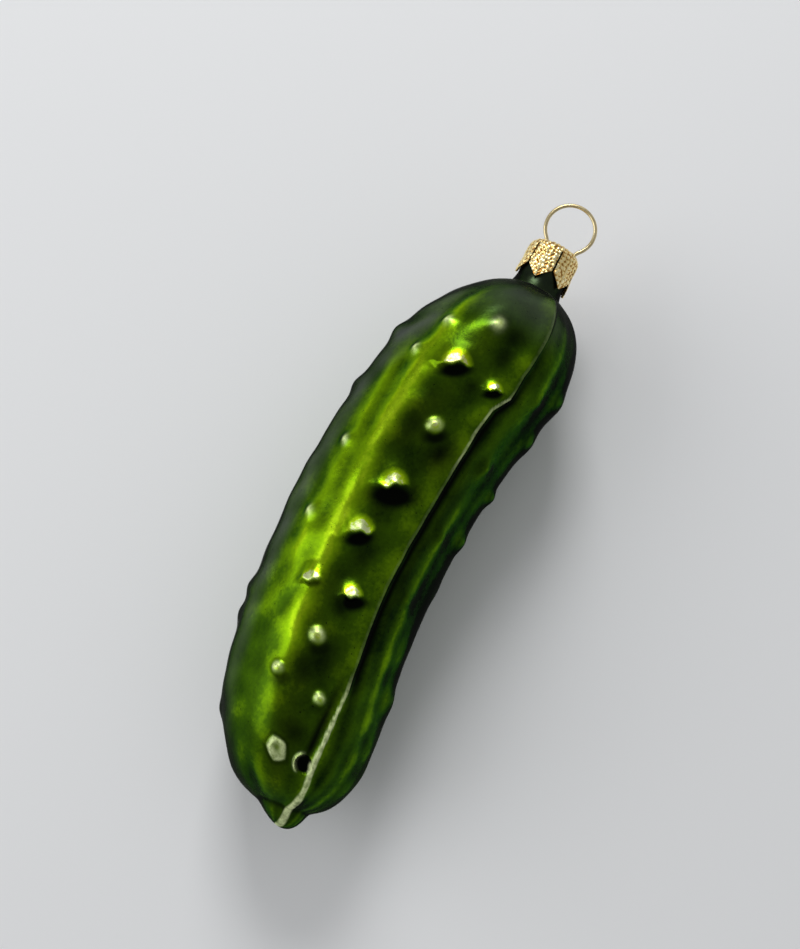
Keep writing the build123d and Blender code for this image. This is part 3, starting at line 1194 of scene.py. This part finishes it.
    def inner_profile(self) -> Grid:
        """The inside rings, from the bore down to the cavity's end.

        Returns:
            Station and radius of each ring.
        """
        bore = self.neck_radius - self.neck_wall
        foot = self.neck_foot(self.wall, bore)
        tube = [(s, bore) for s in np.linspace(self.rim - 2 * self.rim_round, foot, 12)]
        gaps = (self.inner_gap, self.inner_fine_gap, self.inner_fine_run)
        stations = self.ring_stations(self.wall, foot, *gaps)[::-1][1:]
        cavity = [(s, float(self.radius(np.array(s), self.wall))) for s in stations]
        return np.array(tube + cavity)


@dataclass
class CrownCap:
    """The stamped cap: slotted dome and six pointed petals, embossed all over."""

    radius: float = 4.8
    dome: float = 2.0
    height: float = 7.5
    sheet: float = 0.25
    petals: int = 6
    petal_turn: float = 43.0
    petal_point: float = 2.1
    petal_flare: float = 0.22
    slit_start: float = 1.3
    slit_width: float = 0.35
    slot_inner: float = 1.48
    slot_outer: float = 3.76
    slot_width: float = 1.12
    tip_width: float = 1.5
    pebble_gap: float = 0.85
    pebble_height: float = 0.2
    pebble_start: float = 0.35
    pebble_row: float = 0.87
    pebble_seed: int = 23
    inner_emboss: float = 0.1
    centre_emboss: float = 0.4
    columns: int = 44
    ring_gap: float = 0.1
    sharp_angle: float = 40.0

    @property
    def flat(self) -> float:
        """Radius of the flat middle of the top."""
        return self.radius - self.dome

    def meridian(self, run: Grid) -> tuple[Grid, Grid, Grid]:
        """The cap's profile at a run along it from the middle of the top.

        Args:
            run: Length along the profile.

        Returns:
            Depth below the top, radius, and the angle that the sheet has turned down by, in radians.
        """
        turn = np.clip((run - self.flat) / self.dome, 0.0, math.pi / 2)
        past = np.maximum(run - self.flat - self.dome * math.pi / 2, 0.0)
        depth = self.dome * (1.0 - np.cos(turn)) + past
        radius = np.minimum(run, self.flat) + self.dome * np.sin(turn)
        return depth, radius, turn

    def run_at(self, depth: float) -> float:
        """Run along the profile at a depth.

        Args:
            depth: Depth below the top.

        Returns:
            The run from the middle of the top.
        """
        if depth >= self.dome:
            return self.flat + self.dome * math.pi / 2 + depth - self.dome
        return self.flat + self.dome * math.acos(1.0 - depth / self.dome)

    def emboss(self, run: Grid, angle: Grid) -> Grid:
        """Height of the stamped pattern: scattered pebbles between the veins of each petal.

        Args:
            run: Run along the profile.
            angle: Angle around the cap, in degrees.

        Returns:
            Height in millimetres, up to the pebbles' height.
        """
        depth, radius, _ = self.meridian(run)
        petal = wrap_degrees((angle - self.petal_turn - 180.0 / self.petals) * self.petals) / self.petals
        across = np.radians(petal) * radius
        vein = bell(across, 0.13)
        side = np.abs(((run * 1.15 + 1.1 * np.abs(across)) % 1.0) - 0.5)
        ribs = bell(side, 0.13) * smooth_step(2.6, 2.0, np.abs(across))
        skirt = smooth_step(0.9, 1.8, depth)
        pattern = np.maximum(self.pebbles(run, angle), skirt * np.maximum(0.9 * vein, 0.55 * ribs))
        return self.pebble_height * pattern

    def pebbles(self, run: Grid, angle: Grid) -> Grid:
        """Height of the scattered pebbles, from 0 to 1.

        Args:
            run: Run along the profile.
            angle: Angle around the cap, in degrees.

        Returns:
            The height of the nearest pebble at each point.
        """
        rng = np.random.default_rng(self.pebble_seed)
        centres = []
        sizes = []
        row_gap = self.pebble_gap * self.pebble_row
        for row_run in np.arange(self.pebble_start, self.run_at(self.height), row_gap):
            _, row_radius, _ = self.meridian(np.array(row_run))
            count = max(1, int(2 * math.pi * float(row_radius) / self.pebble_gap))
            shift = rng.uniform(0.0, 360.0)
            for n in range(count):
                turn = shift + 360.0 * n / count + rng.uniform(-0.3, 0.3) * 360.0 / count
                centres.append(self.plain_point(row_run + rng.uniform(-0.14, 0.14), turn))
                sizes.append(rng.uniform(0.55, 1.0))
        tree = KDTree(len(centres))
        for n, centre in enumerate(centres):
            tree.insert(centre, n)
        tree.balance()
        height = np.zeros(run.shape)
        for index in np.ndindex(run.shape):
            _, nearest, distance = tree.find(self.plain_point(float(run[index]), float(angle[index])))
            size = sizes[nearest]
            height[index] = size * max(0.0, 1.0 - (distance / (0.42 * (0.6 + 0.5 * size))) ** 2)
        return height

    def plain_point(self, run: float, angle: float) -> Vector:
        """A point of the cap without its pattern.

        Args:
            run: Run along the profile.
            angle: Angle around the cap, in degrees.

        Returns:
            The point from the middle of the cap's top.
        """
        depth, radius, _ = self.meridian(np.array(run))
        turn = math.radians(angle)
        return Vector((-float(depth), float(radius) * math.sin(turn), float(radius) * math.cos(turn)))

    def shell(self, run: Grid, angle: Grid, below: float) -> tuple[Grid, Grid]:
        """Points of the embossed sheet.

        Args:
            run: Run along the profile.
            angle: Angle around the cap, in degrees.
            below: Depth of the points below the sheet's outer face.

        Returns:
            The points from the middle of the cap's top, and the pattern's height from 0 to 1.
        """
        depth, radius, turn = self.meridian(run)
        pattern = self.emboss(run, angle)
        flare = self.petal_flare * smooth_step(self.slit_start, self.height, depth) ** 2
        out = pattern + flare - below - self.pebble_height * 0.5
        radius = radius + out * np.sin(turn)
        depth = depth - out * np.cos(turn)
        spin = np.radians(angle)
        points = np.stack([-depth, radius * np.sin(spin), radius * np.cos(spin)], axis=-1)
        return points, pattern / self.pebble_height

    def petal_half(self, run: Grid) -> Grid:
        """Half of a petal's angle.

        Args:
            run: Run along the profile.

        Returns:
            The half angle at each run, in degrees.
        """
        slit = math.degrees(self.slit_width / 2 / self.radius)
        full = 180.0 / self.petals - slit
        depth, _, _ = self.meridian(run)
        point = np.clip((depth - self.height + self.petal_point) / self.petal_point, 0.0, 1.0)
        return full + (self.tip_width - full) * point

    def build(self, datum: Datum) -> bpy.types.Object:
        """Builds and dresses the cap.

        Args:
            datum: Where the neck's axis lies.

        Returns:
            The cap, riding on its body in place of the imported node.
        """
        piece = MeshPiece()
        _, cap_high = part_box("crown_cap")
        place = np.array([cap_high[0] / MM, datum.axis_y, datum.axis_z])
        first_petal = self.petal_turn + 180.0 / self.petals
        spread = np.linspace(-1.0, 1.0, self.columns + 1)
        slit_run = self.run_at(self.slit_start)
        rings = np.linspace(self.ring_gap, slit_run, int(slit_run / self.ring_gap))
        last_run = self.run_at(self.height)
        lower = np.linspace(slit_run, last_run, int((last_run - slit_run) / self.ring_gap))

        dome_angles = np.concatenate([
            first_petal + 360.0 * n / self.petals + spread * float(self.petal_half(np.array(slit_run)))
            for n in range(self.petals)
        ])
        run, angle = np.meshgrid(rings, dome_angles, indexing="ij")
        outer_dome, inner_dome = self.add_faces(piece, place, run, angle)
        piece.add_grid(outer_dome, closed=True)
        piece.add_grid(inner_dome, closed=True, flip=True)
        for ring, below, flip in ((outer_dome, 0.0, True), (inner_dome, self.sheet, False)):
            centre = np.array([-below, 0.0, 0.0]) + place
            piece.add_fan(centre, ring[0], flip=flip, emboss=self.centre_emboss)

        width = self.columns + 1
        for n in range(self.petals):
            run = np.repeat(lower[1:, None], width, axis=1)
            angle = first_petal + 360.0 * n / self.petals + spread[None, :] * self.petal_half(run)
            outer, inner = self.add_faces(piece, place, run, angle)
            columns = slice(n * width, (n + 1) * width)
            outer = np.concatenate([outer_dome[-1:, columns], outer])
            inner = np.concatenate([inner_dome[-1:, columns], inner])
            piece.add_grid(outer, closed=False)
            piece.add_grid(inner, closed=False, flip=True)
            self.wall(piece, outer[:, 0], inner[:, 0], flip=True)
            self.wall(piece, outer[:, -1], inner[:, -1], flip=False)
            self.wall(piece, outer[-1], inner[-1], flip=True)
            following = (n + 1) % self.petals * width
            gap = [(n + 1) * width - 1, following]
            self.wall(piece, outer_dome[-1, gap], inner_dome[-1, gap], flip=True)

        cap = piece.make("crown_cap_sheet", [StampedGold().make()], self.sharp_angle)
        self.cut_slots(cap, place)
        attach(cap, "cap")
        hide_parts("crown_cap")
        return cap

    def add_faces(self, piece: MeshPiece, place: Grid, run: Grid,
                  angle: Grid) -> tuple[np.ndarray, np.ndarray]:
        """Adds the points of a stretch of sheet.

        Args:
            piece: The mesh that takes the points.
            place: Middle of the cap's top in the row frame, in millimetres.
            run: Run along the profile.
            angle: Angle around the cap, in degrees.

        Returns:
            Indices of the outer face and of the inner face.
        """
        outer, pattern = self.shell(run, angle, 0.0)
        inner, _ = self.shell(run, angle, self.sheet)
        outer_face = piece.add_points(outer + place, emboss=pattern)
        return outer_face, piece.add_points(inner + place, emboss=self.inner_emboss)

    @staticmethod
    def wall(piece: MeshPiece, outer: np.ndarray, inner: np.ndarray, flip: bool) -> None:
        """Joins an edge of the outer face to the same edge of the inner face.

        Args:
            piece: The mesh that takes the faces.
            outer: Indices along the outer edge.
            inner: Indices along the inner edge.
            flip: Whether the faces turn the other way.
        """
        for n in range(len(outer) - 1):
            corners = (outer[n], outer[n + 1], inner[n + 1], inner[n])
            piece.add_face(corners[::-1] if flip else corners)

    def cut_slots(self, cap: bpy.types.Object, place: Grid) -> None:
        """Cuts the two slots that the wire passes through.

        Args:
            cap: The cap's object.
            place: Middle of the cap's top in the row frame, in millimetres.
        """
        half = self.slot_width / 2
        turns = np.radians(np.linspace(-90.0, 90.0, 13))
        for side in (1.0, -1.0):
            cutter = MeshPiece()
            far = [(self.slot_outer - half + half * math.cos(t), half * math.sin(t)) for t in turns]
            near = [(self.slot_inner + half - half * math.cos(t), -half * math.sin(t)) for t in turns]
            outline = np.array([(side * y, side * z) for y, z in far + near])
            ends = []
            for depth in (0.5, -self.dome):
                points = np.column_stack([np.full(len(outline), depth), outline]) + place
                ends.append(cutter.add_points(points))
            cutter.add_grid(np.stack(ends), closed=True, flip=True)
            cutter.add_face(tuple(ends[0]))
            cutter.add_face(tuple(ends[1][::-1]))
            tool = cutter.make("slot_cutter", [], 30.0)
            cut = cap.modifiers.new("slot", "BOOLEAN")
            cut.operation = "DIFFERENCE"
            cut.solver = "EXACT"
            cut.object = tool
            bpy.context.view_layer.update()
            shaped = bpy.data.meshes.new_from_object(cap.evaluated_get(bpy.context.evaluated_depsgraph_get()))
            cap.modifiers.clear()
            cap.data = shaped
            bpy.data.objects.remove(tool)
        cap.data.set_sharp_from_angle(angle=math.radians(self.sharp_angle))


@dataclass
class WireHanger:
    """One wire: the hanging ring, two bends and two legs that spring inside the neck."""

    wire_radius: float = 0.36
    ring_radius: float = 4.5
    ring_rise: float = 4.15
    bend_radius: float = 3.0
    bend_depth: float = 0.9
    leg_spread: float = 3.14
    leg_length: float = 16.0
    sides: int = 20
    step: float = 0.16
    sharp_angle: float = 60.0

    def path(self, centre: Grid, axis_y: float) -> Grid:
        """Points along the wire's middle, from the end of one leg to the end of the other.

        Args:
            centre: Middle of the ring, in millimetres.
            axis_y: Sideways place of the neck's axis, in millimetres.

        Returns:
            The points in X and Y.
        """
        drop = self.ring_rise + self.bend_depth
        spread = math.sqrt((self.ring_radius + self.bend_radius) ** 2 - drop**2)
        ring_turn = math.atan2(spread, -drop)
        count = int(2 * ring_turn * self.ring_radius / self.step)
        turns = np.linspace(-ring_turn, ring_turn, count)
        ring = centre[:2] + self.ring_radius * np.stack([np.cos(turns), np.sin(turns)], axis=-1)
        runs = {side: self.bend_and_leg(centre, axis_y, side, drop, spread, ring_turn) for side in (1, -1)}
        return np.concatenate([runs[-1][::-1], ring[1:-1], runs[1]])

    def bend_and_leg(self, centre: Grid, axis_y: float, side: int,
                     drop: float, spread: float, ring_turn: float) -> Grid:
        """Points along one bend and leg, from the ring outwards.

        Args:
            centre: Middle of the ring.
            axis_y: Sideways place of the neck's axis.
            side: 1 for the leg towards +Y and -1 for the other.
            drop: How far the bend's middle lies below the ring's middle.
            spread: How far the bend's middle lies to the side of the ring's middle.
            ring_turn: Angle where the ring ends.

        Returns:
            The points in X and Y.
        """
        bend = centre[:2] + np.array([-drop, side * spread])
        leg_end = np.array([centre[0] - self.ring_rise - self.leg_length, axis_y + side * self.leg_spread])
        to_leg = leg_end - bend
        start = ring_turn + math.pi
        end = side * math.atan2(to_leg[1], to_leg[0]) + math.acos(self.bend_radius / np.linalg.norm(to_leg))
        sweep = (start - end) % (2 * math.pi)
        turns = side * (start - np.linspace(0.0, sweep, 24))
        arc = bend + self.bend_radius * np.stack([np.cos(turns), np.sin(turns)], axis=-1)
        share = np.linspace(0.0, 1.0, 40)[1:, None]
        return np.concatenate([arc, arc[-1] + share * (leg_end - arc[-1])])

    def build(self, datum: Datum) -> bpy.types.Object:
        """Builds and dresses the hanger.

        Args:
            datum: Where the neck's axis lies.

        Returns:
            The hanger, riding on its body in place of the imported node.
        """
        low, high = (np.array(corner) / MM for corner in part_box("wire_hanger"))
        centre = np.array([high[0] - self.ring_radius - self.wire_radius, (low[1] + high[1]) / 2, 0.0])
        path = self.path(centre, datum.axis_y)
        ahead = np.gradient(path, axis=0)
        ahead /= np.linalg.norm(ahead, axis=-1, keepdims=True)
        normal = np.stack([-ahead[:, 1], ahead[:, 0]], axis=-1)
        piece = MeshPiece()
        turns = np.linspace(0.0, 2 * math.pi, self.sides, endpoint=False)
        points = np.empty((len(path), self.sides, 3))
        points[..., :2] = path[:, None] + self.wire_radius * np.cos(turns)[None, :, None] * normal[:, None]
        points[..., 2] = datum.axis_z + self.wire_radius * np.sin(turns)[None, :]
        rows = piece.add_points(points)
        piece.add_grid(rows, closed=True)
        for n, flip in ((0, True), (-1, False)):
            piece.add_fan(points[n].mean(axis=0), rows[n], flip=flip)
        hanger = piece.make("hanger_wire", [DrawnWire().make()], self.sharp_angle)
        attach(hanger, "hanger")
        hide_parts("wire_hanger")
        return hanger


@dataclass
class Studio:
    """The pale floor, the soft lights and the camera at the photograph's angle."""

    elevation: float = 80.0
    neck_lean: float = 27.0
    distance: float = 450.0
    picture_height: float = 167.9
    sensor: float = 36.0
    aim_station: float = 61.8
    aim_side: float = 6.5
    floor_size: float = 6000.0
    floor_colour: tuple = (0.82, 0.83, 0.84)
    world_colour: tuple = (0.37, 0.372, 0.376)
    lamps: tuple = (
        ("window", (0.0, 0.77, 0.64), 800.0, 300.0, 3.0),
        ("side_panel", (0.88, 0.1, 0.47), 900.0, 800.0, 3.4),
    )

    def axes(self) -> tuple[Vector, Vector]:
        """Level directions that point to the top and to the left of the picture."""
        lean = math.radians(self.neck_lean)
        return Vector((math.cos(lean), math.sin(lean), 0.0)), Vector((-math.sin(lean), math.cos(lean), 0.0))

    def aim(self, datum: Datum) -> Vector:
        """The point in the middle of the picture, in metres."""
        return Vector((datum.zero_x + self.aim_station, datum.axis_y + self.aim_side, datum.axis_z)) * MM

    def build(self, datum: Datum) -> None:
        """Makes the floor, the world, the lamps and the camera.

        Args:
            datum: Where the neck's axis and station zero lie.
        """
        self.make_floor()
        self.make_world()
        for lamp in self.lamps:
            self.make_lamp(self.aim(datum), *lamp)
        self.make_camera(self.aim(datum))

    def make_floor(self) -> None:
        """Makes the pale floor that the ornament lies on."""
        piece = MeshPiece()
        half = self.floor_size / 2
        corners = np.array([[-half, -half, 0.0], [half, -half, 0.0], [half, half, 0.0], [-half, half, 0.0]])
        piece.add_face(tuple(piece.add_points(corners)))
        sheet = NodeSheet("pale_floor")
        sheet.set(base_color=self.floor_colour, roughness=0.85, specular_ior_level=0.2)
        floor = piece.make("floor", [sheet.material], 30.0)

    def make_world(self) -> None:
        """Gives the room an even soft light."""
        world = bpy.data.worlds.new("soft_room")
        world.use_nodes = True
        world.node_tree.nodes["Background"].inputs["Color"].default_value = (*self.world_colour, 1.0)
        bpy.context.scene.world = world

    def make_lamp(self, aim: Vector, name: str, way: tuple, distance: float, size: float,
                  power: float) -> None:
        """Hangs one soft lamp.

        Args:
            aim: Point that the lamp faces, in metres.
            name: Name of the lamp.
            way: Share of the direction towards the picture's left, its top and straight up.
            distance: Distance from the aim, in millimetres.
            size: Side of the lamp's square, in millimetres.
            power: Power in watts.
        """
        upward, leftward = self.axes()
        towards = (leftward * way[0] + upward * way[1] + Vector((0.0, 0.0, way[2]))).normalized()
        light = bpy.data.lights.new(name, "AREA")
        light.shape = "SQUARE"
        light.size = size * MM
        light.energy = power
        lamp = bpy.data.objects.new(name, light)
        lamp.location = aim + towards * distance * MM
        lamp.rotation_euler = towards.to_track_quat("Z", "Y").to_euler()
        bpy.context.scene.collection.objects.link(lamp)

    def make_camera(self, aim: Vector) -> None:
        """Sets the camera at the photograph's angle.

        Args:
            aim: Point in the middle of the picture, in metres.
        """
        upward, leftward = self.axes()
        tilt = math.radians(self.elevation)
        forward = upward * math.cos(tilt) - Vector((0.0, 0.0, math.sin(tilt)))
        top = upward * math.sin(tilt) + Vector((0.0, 0.0, math.cos(tilt)))
        lens = bpy.data.cameras.new("camera")
        lens.sensor_fit = "VERTICAL"
        lens.sensor_height = self.sensor
        lens.lens = self.sensor * self.distance / self.picture_height
        camera = bpy.data.objects.new("camera", lens)
        turn = Matrix((-leftward, top, -forward)).transposed().to_4x4()
        camera.matrix_world = Matrix.Translation(aim - forward * self.distance * MM) @ turn
        bpy.context.scene.collection.objects.link(camera)
        bpy.context.scene.camera = camera


def main() -> None:
    """Builds the ornament and its studio, piece by piece."""
    logging.basicConfig(level=logging.INFO)
    bpy.context.scene.view_settings.view_transform = "Standard"
    pickle = GlassPickle()
    datum = Datum.from_frame(pickle.rim)
    for part in (pickle, CrownCap(), WireHanger()):
        piece = part.build(datum)
        LOG.info("built %s with %d faces", piece.name, len(piece.data.polygons))
    Studio().build(datum)


if __name__ == "__main__":
    main()
